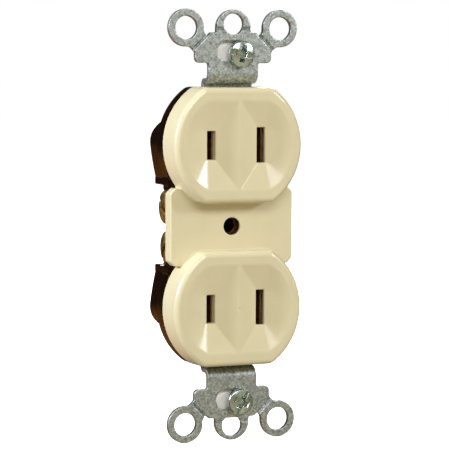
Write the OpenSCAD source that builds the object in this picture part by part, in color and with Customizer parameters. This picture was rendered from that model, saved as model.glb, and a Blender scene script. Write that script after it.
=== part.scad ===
/* [Faces] */
// Distance between the centres of the two outlets
outlet_spacing = 38.9; // [38:0.1:40]
// Diameter of each round face, at the back edge of the cover
face_d = 33.1; // [32.7:0.1:33.4]
// Height of each face between its flat top and flat bottom
face_h = 27.6; // [27:0.1:27.8]
// How far the faces stand out from the parting plane
face_depth = 7.9; // [7.2:0.1:8.5]
// Depth of the dish that leads a plug into its slots
dish_depth = 2.3; // [1.5:0.1:2.6]
// Width across the waist of the cover
waist_w = 31.7; // [31:0.1:32.4]
// How far the waist stands out from the parting plane
waist_depth = 3.2; // [3:0.1:3.4]

/* [Blade slots] */
// Distance between the two blade slots of an outlet
blade_spacing = 12.7; // [12.5:0.1:12.9]
// Width of a blade slot
slot_w = 2.1; // [1.9:0.1:2.3]
// Length of a hot blade slot
hot_slot_l = 6.8; // [6.6:0.1:7.2]
// Length of a neutral blade slot
neutral_slot_l = 8.4; // [8:0.1:8.6]

/* [Back body] */
// Thickness of the rim behind the cover
rim_t = 4.2; // [3.9:0.1:4.5]
// Depth of the wide block behind the parting plane
block_depth = 10.1; // [9.6:0.1:10.6]
// Depth of the whole body behind the parting plane
body_depth = 15; // [14.8:0.1:16.5]
// Clear height of the wiring recess between the two blocks
recess_h = 19.4; // [19.2:0.1:20]

/* [Strap and screws] */
// Thickness of the strap's sheet steel
strap_t = 1.3; // [1.2:0.05:1.4]
// Distance between the two box screws
box_spacing = 83.34; // [83:0.02:83.6]
// Sideways place of the box screws in their slots
box_screw_x = 1.75; // [-2.3:0.05:2.3]
// How far the upper terminal screws are backed out of their plates
upper_backout = 3.5; // [0.5:0.1:3.6]
// How far the lower terminal screws are backed out of their plates
lower_backout = 3.1; // [0.5:0.1:3.6]

/* [Hidden] */

// The parting plane of cover and body is y = 0, the room is at -y and the wall box at +y.
// The origin is on the axis of the tapped hole for the wall plate's screw.
$fn = 64;
eps = 0.01;
outlet_z = outlet_spacing / 2;
blade_x = blade_spacing / 2;

// Cover
face_r = face_d / 2;
face_draft = 0.35;
face_round = 1.3;
corner_round = 2;
dish_r = 13.5;
dish_half_h = 10.4;
waist_half_h = 9.3;
waist_chamfer = 1.3;
plate_screw_clear_r = 2.1;
slot_wall_t = 2;

// Contacts, which stand in wells that cross from the body into the cover
leaf_t = 0.45;
clip_half_w = 1.65;
well_inner_x = 4.5;
well_outer_x = 8.3;
well_half_l = 4.9;
well_depth = 13.3;
clip_back_y = 12.6;
clip_mouth_y = -3.2;
pinch_y = -1.2;
pinch_half = 0.35;
mouth_half = 1.1;
lug_z = 11.6;
lug_y = [3.8, 8.2];

// Terminal bars
bar_t = 1.2;
bar_in_x = blade_x + clip_half_w;
bar_out_x = bar_in_x + bar_t;
bar_end_z = 15.4;
term_y = 5.5;
upper_term_z = 4.3;
lower_term_z = -5.5;
tab_half = 3.9;
link_half_w = 1.1;
rivet_z = 13.4;
rivet_y = 6;
rivet_r = 0.9;
rivet_head_r = 1.6;
rivet_head_h = 0.5;

// Terminal screws, number 8
term_r = 2.08;
term_len = 5.6;
term_head_r = 4.1;
term_head_h = 1.9;
drive_slot_w = 1.1;
thread_gap = 0.05;

// Body
rim_r = 16.5;
block_half_w = 16.55;
foot_half_w = 14.9;
foot_end_z = 11.4;
core_half_w = 11;
core_end_z = 25.8;
core_cut_x = 1.8;
core_cut_z = 3.3;
block_end_z = 25.9;
waist_half_w = bar_in_x - 0.1;
strap_gap = 0.05;
arm_slot_x = [6.9, 9.9];
arm_slot_y = [3.2, 8.9];
arm_slot_end_z = 16.2;

// Strap
strap_half_w = 3.6;
neck_half_w = 6.35;
neck_z = 25.5;
centre_half_w = 6;
centre_half_h = 6.5;
ear_front_y = -3.8;
ear_back_y = ear_front_y + strap_t;
leg_z = 34;
bend_r = 2.4;
ear_half_w = 9.75;
ear_bottom_z = 38.9;
ear_top_z = 46.1;
ring_x = 12;
ring_z = 47.15;
ring_r = 4.45;
ring_hole_r = 2.75;
tab_hole_z = 48.1;
tab_hole_r = 2.5;
tab_r = 4.4;
score_z = 47;
score_w = 0.55;
score_depth = 0.35;
slot_half_l = 4.1;
slot_r = 2.45;
plate_thread_r = 1.75;
collar_r = 2.7;
collar_y = 2.6;

// Box screws, number 6, with the white washers that hold them in the ears
box_r = 1.75;
box_head_r = 3.3;
box_head_h = 2;
box_len = 15.4;
box_neck_len = 2.6;
box_drop = 0.6;
box_neck_r = 1.3;
washer_r = 5.5;
washer_half_h = 4.2;
washer_t = 0.8;
washer_gap = 0.1;

// Assembly screws
assembly_z = 29;
assembly_r = 1.2;
assembly_head_r = 2.3;
assembly_head_h = 1.5;
assembly_depth = 5;

ivory = [0.88, 0.83, 0.69];
phenolic = [0.16, 0.06, 0.03];
zinc = [0.6, 0.62, 0.6];
brass = [0.72, 0.55, 0.25];
bronze = [0.68, 0.45, 0.28];
nickel = [0.78, 0.78, 0.76];
nylon = [0.95, 0.95, 0.93];

// A flat outline in x and z becomes a plate from y0 to y1.
module plate(y0, y1) {
    translate([0, y1, 0])
        rotate([90, 0, 0])
            linear_extrude(height = y1 - y0)
                children();
}

// A round bar along y from y0 to y1.
module post(x, z, r, y0, y1) {
    translate([x, y1, z])
        rotate([90, 0, 0])
            cylinder(r = r, h = y1 - y0);
}

// A round bar along x from x0 to x1.
module bar(y, z, r, x0, x1) {
    translate([x0, y, z])
        rotate([0, 90, 0])
            cylinder(r = r, h = x1 - x0);
}

module block(low, high) {
    translate(low)
        cube(high - low);
}

module both_ends() {
    children();
    mirror([0, 0, 1])
        children();
}

module both_sides() {
    children();
    mirror([1, 0, 0])
        children();
}

// Profile of a round face across its radius: x is the radius, y runs from the back to the front.
module face_profile() {
    r_front = face_r - face_draft;
    union() {
        polygon([
            [0, 0], [face_r, 0], [r_front, face_depth - face_round],
            [r_front - face_round, face_depth], [0, face_depth]
        ]);
        translate([r_front - face_round, face_depth - face_round])
            circle(r = face_round);
    }
}

// Section of a face from flat to flat, with its front edges rounded.
module flat_profile() {
    half = face_h / 2;
    union() {
        translate([-half, 0])
            square([face_h, face_depth - face_round]);
        translate([face_round - half, 0])
            square([face_h - 2 * face_round, face_depth]);
        for (s = [-1, 1])
            translate([s * (half - face_round), face_depth - face_round])
                circle(r = face_round);
    }
}

module face_boss() {
    translate([0, 0, outlet_z])
        intersection() {
            rotate([90, 0, 0])
                rotate_extrude($fn = 128)
                    face_profile();
            translate([-face_r - 1, 0, 0])
                rotate([90, 0, 90])
                    linear_extrude(height = 2 * face_r + 2)
                        rotate(90)
                            flat_profile();
        }
}

// Half of a dish: its outline at the face runs down to one blade slot.
module dish_half(side, slot_l) {
    steps = 6;
    a_end = asin(dish_half_h / dish_r);
    rim = [for (i = [-steps:steps]) let (a = a_end * i / steps) dish_r * [cos(a), sin(a)]];
    outline = concat(rim, [[0, dish_half_h], [0, -dish_half_h]]);
    translate([0, 0, outlet_z])
        hull() {
            translate([0, -face_depth, 0])
                mirror([side < 0 ? 1 : 0, 0, 0])
                    plate(-eps, eps)
                        polygon(outline);
            translate([side * blade_x, -face_depth + dish_depth, 0])
                cube([slot_w, eps, slot_l], center = true);
        }
}

module blade_slot(side, slot_l) {
    translate([side * blade_x, -face_depth / 2, outlet_z])
        cube([slot_w, face_depth, slot_l], center = true);
}

module contact_well(y0, y1) {
    both_sides()
        block([well_inner_x, y0, outlet_z - well_half_l], [well_outer_x, y1, outlet_z + well_half_l]);
}

module waist_outline() {
    w = waist_w / 2;
    h = waist_half_h;
    c = waist_chamfer;
    polygon([[-w, c - h], [c - w, -h], [w - c, -h], [w, c - h], [w, h - c], [w - c, h], [c - w, h], [-w, h - c]]);
}

module face_cover() {
    slot_floor_y = -face_depth + dish_depth + slot_wall_t;
    color(ivory)
        difference() {
            union() {
                both_ends()
                    face_boss();
                plate(-waist_depth, 0)
                    waist_outline();
                post(0, 0, 3, -waist_depth - 0.15, -waist_depth + 1);
            }
            for (end = [0, 1])
                mirror([0, 0, end]) {
                    dish_half(-1, hot_slot_l);
                    dish_half(1, neutral_slot_l);
                    blade_slot(-1, hot_slot_l);
                    blade_slot(1, neutral_slot_l);
                    contact_well(slot_floor_y, 1);
                    post(0, assembly_z, assembly_r + thread_gap, -assembly_depth - 0.5, 1);
                }
            post(0, 0, plate_screw_clear_r, -face_depth, 1);
        }
}

// The rim behind a face, flat at the outer end, running on to the waist.
module rim_outline() {
    intersection() {
        translate([0, outlet_z])
            circle(r = rim_r, $fn = 128);
        translate([-rim_r, waist_half_h - 0.1])
            square([2 * rim_r, outlet_z + face_h / 2 - waist_half_h]);
    }
}

// The wide block narrows toward the waist, ends in a straight foot and has rounded outer corners.
module block_outline() {
    inner_z = recess_h / 2;
    widest_z = 16.6;
    outer_r = 7;
    half = block_half_w;
    foot = foot_half_w;
    intersection() {
        polygon([
            [-foot, inner_z], [foot, inner_z], [foot, foot_end_z], [half, widest_z], [half, block_end_z],
            [-half, block_end_z], [-half, widest_z], [-foot, foot_end_z]
        ]);
        union() {
            translate([-half, 0])
                square([2 * half, block_end_z - outer_r]);
            translate([outer_r - half, 0])
                square([2 * (half - outer_r), block_end_z]);
            for (s = [-1, 1])
                translate([s * (half - outer_r), block_end_z - outer_r])
                    circle(r = outer_r);
        }
    }
}

// The deep core around the contact wells, cut back at its outer corners.
module core_outline() {
    inner_z = recess_h / 2;
    w = core_half_w;
    polygon([
        [-w, inner_z], [w, inner_z], [w, core_end_z - core_cut_z], [w - core_cut_x, core_end_z],
        [core_cut_x - w, core_end_z], [-w, core_end_z - core_cut_z]
    ]);
}

module strap_channel() {
    depth = strap_t + strap_gap;
    gap = 0.1;
    block([-strap_half_w - gap, -1, -40], [strap_half_w + gap, depth, 40]);
    block([-centre_half_w - gap, -1, -centre_half_h - gap], [centre_half_w + gap, depth, centre_half_h + gap]);
    both_ends()
        block([-neck_half_w - gap, -1, neck_z - gap], [neck_half_w + gap, depth, 40]);
}

module back_body() {
    inner_z = recess_h / 2;
    color(phenolic)
        difference() {
            union() {
                both_ends() {
                    plate(0, rim_t)
                        rim_outline();
                    block([-foot_half_w, 0, waist_half_h - 0.8], [foot_half_w, rim_t, foot_end_z]);
                    plate(0, block_depth)
                        block_outline();
                    plate(0, body_depth)
                        core_outline();
                }
                block([-waist_half_w, 0, -inner_z - 1], [waist_half_w, body_depth, inner_z + 1]);
            }
            strap_channel();
            post(0, 0, collar_r + 0.2, -1, 9.5);
            both_ends() {
                contact_well(-1, well_depth);
                post(0, assembly_z, assembly_r + 0.3, -1, rim_t + 1);
                both_sides()
                    block(
                        [arm_slot_x[0], arm_slot_y[0], inner_z - 1.5],
                        [arm_slot_x[1], arm_slot_y[1], arm_slot_end_z]
                    );
            }
            both_sides() {
                for (z = [upper_term_z, lower_term_z]) {
                    bar(term_y, z, term_r + 0.5, 3.4, 20);
                    bar(term_y, z, term_head_r + 0.3, bar_in_x, 20);
                }
                block(
                    [waist_half_w, term_y - tab_half - 0.2, -inner_z],
                    [bar_out_x + 0.2, term_y + tab_half + 0.2, inner_z]
                );
            }
        }
}

// Outline of an ear: neck, shoulders, corners cut at 45 degrees, centre tab and two side rings.
module ear_outline() {
    shoulder_r = 1.2;
    cut_x = 6.45;
    cut_z = 42.2;
    difference() {
        union() {
            translate([-neck_half_w, leg_z + bend_r - eps])
                square([2 * neck_half_w, ear_bottom_z - leg_z - bend_r + 1]);
            polygon([
                [-ear_half_w + shoulder_r, ear_bottom_z], [ear_half_w - shoulder_r, ear_bottom_z],
                [ear_half_w, ear_bottom_z + shoulder_r], [ear_half_w, cut_z],
                [cut_x, ear_top_z], [-cut_x, ear_top_z],
                [-ear_half_w, cut_z], [-ear_half_w, ear_bottom_z + shoulder_r]
            ]);
            for (s = [-1, 1])
                translate([s * (ear_half_w - shoulder_r), ear_bottom_z + shoulder_r])
                    circle(r = shoulder_r);
            translate([-tab_r, ear_top_z - 1])
                square([2 * tab_r, ring_z - ear_top_z + 1]);
            translate([0, ring_z])
                circle(r = tab_r);
            for (s = [-1, 1]) {
                translate([s * ring_x, ring_z])
                    circle(r = ring_r);
                translate([s * ring_x, ring_z])
                    rotate(s > 0 ? -135 : -45)
                        translate([0, -2.45])
                            square([6, 4.9]);
            }
        }
        for (s = [-1, 1])
            translate([s * ring_x, ring_z])
                circle(r = ring_hole_r);
        translate([0, tab_hole_z])
            circle(r = tab_hole_r);
        translate([-slot_half_l + slot_r, box_spacing / 2 - slot_r])
            square([2 * (slot_half_l - slot_r), 2 * slot_r]);
        for (s = [-1, 1])
            translate([s * (slot_half_l - slot_r), box_spacing / 2])
                circle(r = slot_r);
    }
}

// Score lines along which an ear's rings and tab are snapped off.
module score_lines() {
    cut = [8.2, ear_front_y, 44.05];
    both_sides()
        translate(cut)
            rotate([0, 45, 0])
                cube([5.6, 2 * score_depth, score_w], center = true);
    translate([0, ear_front_y, score_z])
        cube([2 * tab_r, 2 * score_depth, score_w], center = true);
}

// Side section of the double bend that carries an ear forward, in y and z.
module bend_section() {
    back_r = strap_t + 0.3;
    intersection() {
        translate([ear_front_y + bend_r, leg_z + bend_r])
            difference() {
                circle(r = bend_r);
                circle(r = bend_r - strap_t);
            }
        translate([ear_front_y, leg_z])
            square([bend_r, bend_r]);
    }
    translate([ear_front_y + bend_r - eps, leg_z])
        square([strap_t - back_r - ear_front_y - bend_r + 2 * eps, strap_t]);
    intersection() {
        translate([strap_t - back_r, leg_z + strap_t - back_r])
            difference() {
                circle(r = back_r);
                circle(r = back_r - strap_t);
            }
        translate([strap_t - back_r, leg_z + strap_t - back_r])
            square([back_r, back_r]);
    }
}

module mounting_strap() {
    bend_end_z = leg_z - 0.3;
    color(zinc)
        difference() {
            union() {
                plate(0, strap_t)
                    union() {
                        translate([-strap_half_w, -bend_end_z])
                            square([2 * strap_half_w, 2 * bend_end_z]);
                        translate([-centre_half_w, -centre_half_h])
                            square([2 * centre_half_w, 2 * centre_half_h]);
                        for (z = [neck_z, -bend_end_z - eps])
                            translate([-neck_half_w, z])
                                square([2 * neck_half_w, bend_end_z - neck_z + eps]);
                    }
                both_ends() {
                    translate([-neck_half_w, 0, 0])
                        rotate([90, 0, 90])
                            linear_extrude(height = 2 * neck_half_w)
                                bend_section();
                    plate(ear_front_y, ear_back_y)
                        ear_outline();
                }
                post(0, 0, collar_r, 0, collar_y);
            }
            post(0, 0, plate_thread_r, -1, collar_y + 1);
            both_ends() {
                post(0, assembly_z, assembly_r + 0.3, -1, strap_t + 1);
                score_lines();
            }
        }
}

// Brass bar of one side: two tapped plates, a link that snaps out, and an arm into each block.
module terminal_bar(side) {
    mirror([side < 0 ? 1 : 0, 0, 0])
        difference() {
            union() {
                for (z = [upper_term_z, lower_term_z])
                    block(
                        [bar_in_x, term_y - tab_half, z - tab_half],
                        [bar_out_x, term_y + tab_half, z + tab_half]
                    );
                block(
                    [bar_in_x, term_y - link_half_w, lower_term_z],
                    [bar_out_x, term_y + link_half_w, upper_term_z]
                );
                block([bar_in_x, lug_y[0], -bar_end_z], [bar_out_x, lug_y[1], lower_term_z]);
                block([bar_in_x, lug_y[0], upper_term_z], [bar_out_x, lug_y[1], bar_end_z]);
            }
            for (z = [upper_term_z, lower_term_z])
                bar(term_y, z, term_r + thread_gap, 0, 20);
            for (z = [-rivet_z, rivet_z])
                bar(rivet_y, z, rivet_r + 0.02, 0, 20);
        }
}

// A straight run of spring strip between two points of its section.
module strip(p, q) {
    d = q - p;
    translate(p)
        rotate(atan2(d[1], d[0]))
            translate([0, -leaf_t / 2])
                square([norm(d), leaf_t]);
    for (point = [p, q])
        translate(point)
            circle(r = leaf_t / 2, $fn = 32);
}

// Section of one contact in x and y: a fork that pinches a blade from both faces.
module clip_section() {
    leaf = clip_half_w - leaf_t / 2;
    back = clip_back_y - leaf_t / 2;
    for (s = [-1, 1]) {
        strip([s * leaf, back], [s * leaf, 2.5]);
        strip([s * leaf, 2.5], [s * (pinch_half + leaf_t / 2), pinch_y]);
        strip([s * (pinch_half + leaf_t / 2), pinch_y], [s * mouth_half, clip_mouth_y]);
    }
    strip([-leaf, back], [leaf, back]);
}

// One contact for the upper outlet: the fork and the lug that is riveted to the terminal bar.
module contact(side, half_l) {
    mirror([side < 0 ? 1 : 0, 0, 0])
        difference() {
            union() {
                translate([blade_x, 0, outlet_z - half_l])
                    linear_extrude(height = 2 * half_l)
                        clip_section();
                block([bar_in_x - leaf_t, lug_y[0], lug_z], [bar_in_x, lug_y[1], outlet_z - half_l + 1]);
            }
            bar(rivet_y, rivet_z, rivet_r + 0.02, 0, 20);
        }
}

module rivet(side, end) {
    color(brass)
        mirror([side < 0 ? 1 : 0, 0, 0])
            union() {
                z = end * rivet_z;
                bar(rivet_y, z, rivet_r, bar_in_x - leaf_t - rivet_head_h, bar_out_x + rivet_head_h);
                bar(rivet_y, z, rivet_head_r, bar_in_x - leaf_t - rivet_head_h, bar_in_x - leaf_t);
                bar(rivet_y, z, rivet_head_r, bar_out_x, bar_out_x + rivet_head_h);
            }
}

// Binding head screw along x, its head's flat underside at x = 0 and its tip inward.
module terminal_screw(side, z, backout) {
    mirror([side < 0 ? 1 : 0, 0, 0])
        translate([bar_out_x + backout, term_y, z])
            difference() {
                union() {
                    rotate([0, 90, 0])
                        rotate_extrude()
                            polygon([
                                [0, 0], [term_head_r, 0], [term_head_r, 1.2],
                                [term_head_r - 0.5, 1.6], [term_head_r - 1.6, term_head_h], [0, term_head_h]
                            ]);
                    bar(0, 0, term_r, -term_len, 0.1);
                }
                translate([term_head_h, 0, 0])
                    rotate([z > 0 ? 25 : -50, 0, 0])
                        cube([2 * 1.1, 3 * term_head_r, drive_slot_w], center = true);
            }
}

// Oval head screw along y with a straight slot crossed by a short one.
module box_screw(end, turn) {
    z = end * box_spacing / 2 - box_drop;
    color(zinc)
        translate([box_screw_x, ear_front_y - washer_gap, z])
            difference() {
                union() {
                    rotate([90, 0, 0])
                        rotate_extrude()
                            polygon([
                                [0, 0], [box_head_r, 0], [box_head_r, 0.7],
                                [box_head_r - 0.6, 1.4], [box_head_r - 1.6, 1.85], [0, box_head_h]
                            ]);
                    post(0, 0, box_neck_r, -0.1, box_neck_len + 0.1);
                    post(0, 0, box_r, box_neck_len, box_len);
                }
                translate([0, -box_head_h, 0])
                    rotate([0, turn, 0]) {
                        cube([3 * box_head_r, 2.2, 1], center = true);
                        cube([1, 2.8, 3.6], center = true);
                    }
            }
}

module retaining_washer(end) {
    z = end * box_spacing / 2 - box_drop;
    color(nylon)
        translate([box_screw_x, 0, z])
            plate(ear_back_y + washer_gap, ear_back_y + washer_gap + washer_t)
                difference() {
                    intersection() {
                        circle(r = washer_r);
                        square([2 * washer_r, 2 * washer_half_h], center = true);
                    }
                    circle(r = box_r + thread_gap);
                }
}

module assembly_screw(end) {
    z = end * assembly_z;
    color(zinc)
        difference() {
            union() {
                post(0, z, assembly_head_r, rim_t, rim_t + assembly_head_h);
                post(0, z, assembly_r, -assembly_depth, rim_t + 0.1);
            }
            translate([0, rim_t + assembly_head_h, z])
                rotate([0, 20, 0])
                    cube([3 * assembly_head_r, 1.6, 0.8], center = true);
        }
}

module lower(is_lower) {
    mirror([0, 0, is_lower ? 1 : 0])
        children();
}

module hot_contact(is_lower) {
    color(bronze)
        lower(is_lower)
            contact(-1, 3.5);
}

module neutral_contact(is_lower) {
    color(bronze)
        lower(is_lower)
            contact(1, 4.2);
}

face_cover();
back_body();
mounting_strap();
color(brass) terminal_bar(-1);  // hot_terminal_bar
color(nickel) terminal_bar(1);  // neutral_terminal_bar
hot_contact(false);  // upper_hot_contact
hot_contact(true);  // lower_hot_contact
neutral_contact(false);  // upper_neutral_contact
neutral_contact(true);  // lower_neutral_contact
rivet(-1, 1);  // upper_hot_rivet
rivet(-1, -1);  // lower_hot_rivet
rivet(1, 1);  // upper_neutral_rivet
rivet(1, -1);  // lower_neutral_rivet
color(brass) terminal_screw(-1, upper_term_z, upper_backout);  // upper_hot_screw
color(brass) terminal_screw(-1, lower_term_z, lower_backout);  // lower_hot_screw
color(nickel) terminal_screw(1, upper_term_z, upper_backout);  // upper_neutral_screw
color(nickel) terminal_screw(1, lower_term_z, lower_backout);  // lower_neutral_screw
box_screw(1, 12);  // top_box_screw
box_screw(-1, -63);  // bottom_box_screw
retaining_washer(1);  // top_retaining_washer
retaining_washer(-1);  // bottom_retaining_washer
assembly_screw(1);  // top_assembly_screw
assembly_screw(-1);  // bottom_assembly_screw
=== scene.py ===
import math

import bpy
import numpy as np
from mathutils import Matrix, Vector


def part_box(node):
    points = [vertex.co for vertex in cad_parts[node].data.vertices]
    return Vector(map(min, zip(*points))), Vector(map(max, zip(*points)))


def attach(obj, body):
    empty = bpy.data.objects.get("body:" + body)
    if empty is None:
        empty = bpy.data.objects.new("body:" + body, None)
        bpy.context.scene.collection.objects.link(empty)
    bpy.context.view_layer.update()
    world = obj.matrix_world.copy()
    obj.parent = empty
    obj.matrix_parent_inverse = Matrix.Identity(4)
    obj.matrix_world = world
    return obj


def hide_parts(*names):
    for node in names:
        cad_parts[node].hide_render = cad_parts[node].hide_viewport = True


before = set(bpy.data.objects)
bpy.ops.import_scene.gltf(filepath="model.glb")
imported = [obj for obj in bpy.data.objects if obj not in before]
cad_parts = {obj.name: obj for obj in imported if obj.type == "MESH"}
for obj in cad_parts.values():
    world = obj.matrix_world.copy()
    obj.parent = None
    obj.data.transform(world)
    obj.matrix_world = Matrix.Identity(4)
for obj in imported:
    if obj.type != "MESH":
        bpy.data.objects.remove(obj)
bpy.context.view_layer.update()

MM = 0.001
SCENE = bpy.context.scene
SCENE.view_settings.view_transform = "Standard"

# ---------------------------------------------------------------- sizes, in millimetres


def node_box(node):
    low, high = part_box(node)
    return np.array(low) / MM, np.array(high) / MM


COVER_LOW, COVER_HIGH = node_box("face_cover")
BODY_LOW, BODY_HIGH = node_box("back_body")
STRAP_LOW, STRAP_HIGH = node_box("mounting_strap")

# The origin is on the axis of the wall plate's screw, and y = 0 is the parting plane.
OUTLET_Z = 19.45
BLADE_X = 6.35
FACE_R = COVER_HIGH[0]
FACE_HALF_H = COVER_HIGH[2] - OUTLET_Z
FACE_DEPTH = -COVER_LOW[1]
WAIST_HALF_W = 15.85
WAIST_HALF_H = 9.3
WAIST_CHAMFER = 1.3
WAIST_DEPTH = 3.2
DISH_DEPTH = 2.3
DISH_HALF_H = 10.6
DISH_R = 13.7
# A dish's corner facet starts where DISH_CORNER_U * |x| + DISH_CORNER_V * |w| = DISH_CORNER
DISH_CORNER = 13.2
DISH_CORNER_U = 0.549
DISH_CORNER_V = 0.836
SLOT_W = 2.1
HOT_HALF = 3.4
NEUTRAL_HALF = 4.2
PLATE_HOLE_R = 2.1
# The contacts' wells behind the slots, in the cover and in the body
WELL_IN = 4.5
WELL_OUT = 8.3
WELL_HALF_H = 4.9

STRAP_T = 1.3
EAR_FRONT_Y = STRAP_LOW[1]
BOX_SCREW_Z = 41.67

# ---------------------------------------------------------------- camera

CAMERA_AZIMUTH = math.radians(-22.23)
CAMERA_ELEVATION = math.radians(4.56)
CAMERA_ROLL = math.radians(0.24)
CAMERA_DISTANCE = 0.4701
CAMERA_LENS = 157.52
CAMERA_AIM = Vector((-1.806, -3.2, 0.343)) * MM


def add_camera():
    back = Vector((
        math.sin(CAMERA_AZIMUTH) * math.cos(CAMERA_ELEVATION),
        -math.cos(CAMERA_AZIMUTH) * math.cos(CAMERA_ELEVATION),
        math.sin(CAMERA_ELEVATION),
    ))
    level_right = Vector((0, 0, 1)).cross(back).normalized()
    level_up = back.cross(level_right)
    right = math.cos(CAMERA_ROLL) * level_right + math.sin(CAMERA_ROLL) * level_up
    up = back.cross(right)
    data = bpy.data.cameras.new("camera")
    data.lens = CAMERA_LENS
    data.clip_start = 0.01
    camera = bpy.data.objects.new("camera", data)
    SCENE.collection.objects.link(camera)
    turn = Matrix((right, up, back)).transposed().to_4x4()
    camera.matrix_world = Matrix.Translation(CAMERA_AIM + CAMERA_DISTANCE * back) @ turn
    SCENE.camera = camera


# ---------------------------------------------------------------- distance fields
# A piece's shape is a function of x, y and z in millimetres that is negative inside it.


def round_and(a, b, r):
    """The overlap of two shapes, its outer edge rounded to radius r."""
    return np.minimum(np.maximum(a, b), -r) + np.hypot(np.maximum(a + r, 0), np.maximum(b + r, 0))


def round_or(a, b, r):
    """Two shapes joined, the inner corner between them filled to radius r."""
    return np.maximum(np.minimum(a, b), r) - np.hypot(np.maximum(r - a, 0), np.maximum(r - b, 0))


def cut(a, b, r):
    """Shape a with shape b taken out, the edge rounded to radius r."""
    return round_and(a, -b, r)


def between(v, low, high):
    return np.maximum(low - v, v - high)


def slab(outline, y, y0, y1, r):
    """A flat outline between y0 and y1, with edges rounded to radius r."""
    return round_and(outline, between(y, y0, y1), r)


def disc(a, b, r):
    return np.hypot(a, b) - r


def capsule(a, b, half, r):
    return np.hypot(np.maximum(np.abs(a) - half, 0), b) - r


# ---------------------------------------------------------------- meshes from distance fields

GRID_BELOW = 1.5
GRID_ABOVE = 2.5
SETTLE_ROUNDS = 4
SLOPE_STEP = 0.1
CORNERS = np.array([(i, j, k) for i in (0, 1) for j in (0, 1) for k in (0, 1)])
EDGES = [
    (a, b) for a in range(8) for b in range(a + 1, 8)
    if np.abs(CORNERS[a] - CORNERS[b]).sum() == 1
]


def gradient(field, points, step):
    slopes = []
    for axis in range(3):
        offset = np.zeros(3)
        offset[axis] = step
        ahead = field(*(points + offset).T)
        behind = field(*(points - offset).T)
        slopes.append((ahead - behind) / (2 * step))
    return np.stack(slopes, axis=1)


def settle(field, points, step):
    """Moves points onto the field's surface."""
    for _ in range(SETTLE_ROUNDS):
        slope = gradient(field, points, step * SLOPE_STEP)
        steepness = np.maximum((slope ** 2).sum(axis=1), 0.05)
        move = (field(*points.T) / steepness)[:, None] * slope
        points = points - np.clip(move, -step, step)
    return points


def surface(field, low, high, step):
    """Surface nets: a point in each cell that is crossed, and a face across each crossed edge."""
    axes = [
        np.arange(a - GRID_BELOW * step, b + GRID_ABOVE * step, step) for a, b in zip(low, high)
    ]
    grid = np.ix_(*axes)
    value = np.broadcast_to(field(*grid), [len(a) for a in axes])
    inside = value < 0
    shape = [n - 1 for n in inside.shape]
    count = np.zeros(shape, np.int8)
    for i, j, k in CORNERS:
        count += inside[i:i + shape[0], j:j + shape[1], k:k + shape[2]]
    cells = np.stack(np.nonzero((count > 0) & (count < 8)), axis=1)
    number = np.full(shape, -1, np.int32)
    number[tuple(cells.T)] = np.arange(len(cells))
    corner_value = np.stack([value[tuple((cells + c).T)] for c in CORNERS], axis=1)
    total = np.zeros((len(cells), 3))
    crossings = np.zeros(len(cells))
    for a, b in EDGES:
        va, vb = corner_value[:, a], corner_value[:, b]
        crossed = (va < 0) != (vb < 0)
        share = np.where(crossed, va / np.where(crossed, va - vb, 1), 0)
        point = CORNERS[a] + share[:, None] * (CORNERS[b] - CORNERS[a])
        total += point * crossed[:, None]
        crossings += crossed
    start = np.array([a[0] for a in axes])
    points = start + step * (cells + total / crossings[:, None])
    faces = []
    for axis in range(3):
        one = np.eye(3, dtype=int)[axis]
        last = np.array(inside.shape) - one
        near = inside[:last[0], :last[1], :last[2]]
        far = inside[one[0]:, one[1]:, one[2]:]
        for crossed, flip in ((near & ~far, False), (~near & far, True)):
            edge = np.stack(np.nonzero(crossed), axis=1)
            u, v = np.eye(3, dtype=int)[(axis + 1) % 3], np.eye(3, dtype=int)[(axis + 2) % 3]
            ring = [number[tuple((edge - c).T)] for c in (0 * u, u, u + v, v)]
            faces.append(np.stack(ring[::-1] if flip else ring, axis=1))
    return points, np.concatenate(faces)


def mesh_from(name, points, faces):
    mesh = bpy.data.meshes.new(name)
    sides = faces.shape[1]
    mesh.vertices.add(len(points))
    mesh.vertices.foreach_set("co", (points * MM).astype(np.float32).ravel())
    mesh.loops.add(faces.size)
    mesh.loops.foreach_set("vertex_index", faces.astype(np.int32).ravel())
    mesh.polygons.add(len(faces))
    mesh.polygons.foreach_set("loop_start", np.arange(0, faces.size, sides, dtype=np.int32))
    mesh.update(calc_edges=True)
    return mesh


def add_piece(name, field, low, high, step, keep, material, body, nodes):
    """Meshes a field, thins it to the share keep of its faces and sets the field's normals."""
    points, faces = surface(field, low, high, step)
    points = settle(field, points, step)
    piece = bpy.data.objects.new(name, mesh_from(name, points, faces))
    SCENE.collection.objects.link(piece)
    thin = piece.modifiers.new("thin", "DECIMATE")
    thin.ratio = keep
    shaped = piece.evaluated_get(bpy.context.evaluated_depsgraph_get())
    mesh = bpy.data.meshes.new_from_object(shaped)
    piece.modifiers.clear()
    piece.data = mesh
    mesh.name = name
    flat = np.empty(len(mesh.vertices) * 3, np.float32)
    mesh.vertices.foreach_get("co", flat)
    points = settle(field, flat.reshape(-1, 3).astype(float) / MM, step)
    mesh.vertices.foreach_set("co", (points * MM).astype(np.float32).ravel())
    mesh.polygons.foreach_set("use_smooth", np.ones(len(mesh.polygons), bool))
    slope = gradient(field, points, step * SLOPE_STEP)
    slope /= np.maximum(np.linalg.norm(slope, axis=1, keepdims=True), 1e-6)
    mesh.update()
    mesh.normals_split_custom_set_from_vertices(slope.astype(np.float32))
    mesh.materials.append(material)
    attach(piece, body)
    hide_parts(*nodes)
    print(name, len(mesh.polygons), "faces")
    return piece


# ---------------------------------------------------------------- cover

FACE_ROUND = 1.3
FACE_DRAFT = 0.35
CORNER_ROUND = 0.5
EDGE_ROUND = 0.14
DISH_EDGE_ROUND = 0.12
RIDGE_SOFT = 0.06
DISH_DEEPEST = 8
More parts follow.
